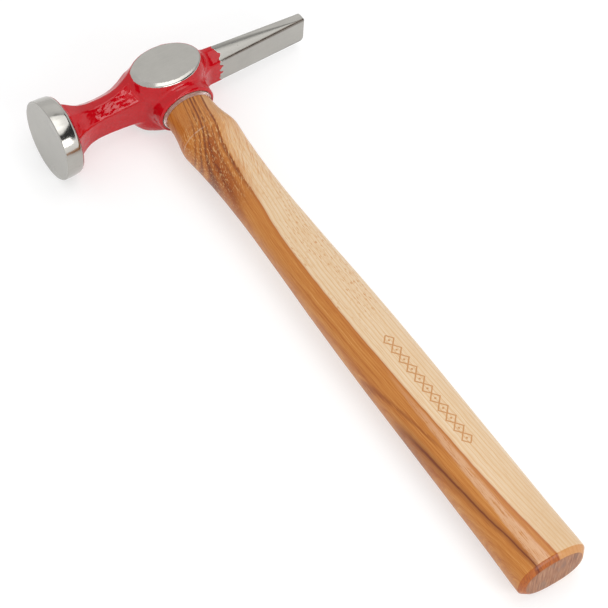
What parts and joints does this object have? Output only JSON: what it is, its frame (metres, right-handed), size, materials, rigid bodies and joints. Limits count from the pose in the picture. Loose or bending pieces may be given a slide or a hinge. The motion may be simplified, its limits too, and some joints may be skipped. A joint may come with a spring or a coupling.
{
  "type": "cross-pein panel hammer",
  "caption": "Light forged hammer with a round flat face, a slim cross-pein wedge, an oval eye boss with ground cheeks and a wedged hickory handle.",
  "frame": {"origin": "under the middle of the outline, at the height of the lowest point of the face's rim, with the hammer lying on its side", "axes": "+X along the head from the face to the pein, +Y up the handle to the crown of the head, +Z out of the upper cheek"},
  "size_m": [0.142, 0.333, 0.04],
  "materials": {
    "red_enamel": "thick glossy red enamel on the forged neck, boss and socket, with a faint orange peel",
    "bright_steel": "ground and polished steel on the face disc, cheeks and pein, with fine grinding marks",
    "lacquered_hickory": "clear gloss lacquer over hickory, orange-brown heartwood on one side and pale sapwood on the other",
    "wedge_wood": "bare hardwood, end grain showing",
    "clear_resin": "clear, slightly pink adhesive bead, glossy"
  },
  "bodies": {
    "root": {"forged_head": "red_enamel", "hickory_handle": "lacquered_hickory", "wood_wedge": "wedge_wood", "steel_wedge": "bright_steel", "resin_seal": "clear_resin"}
  },
  "joints": []
}
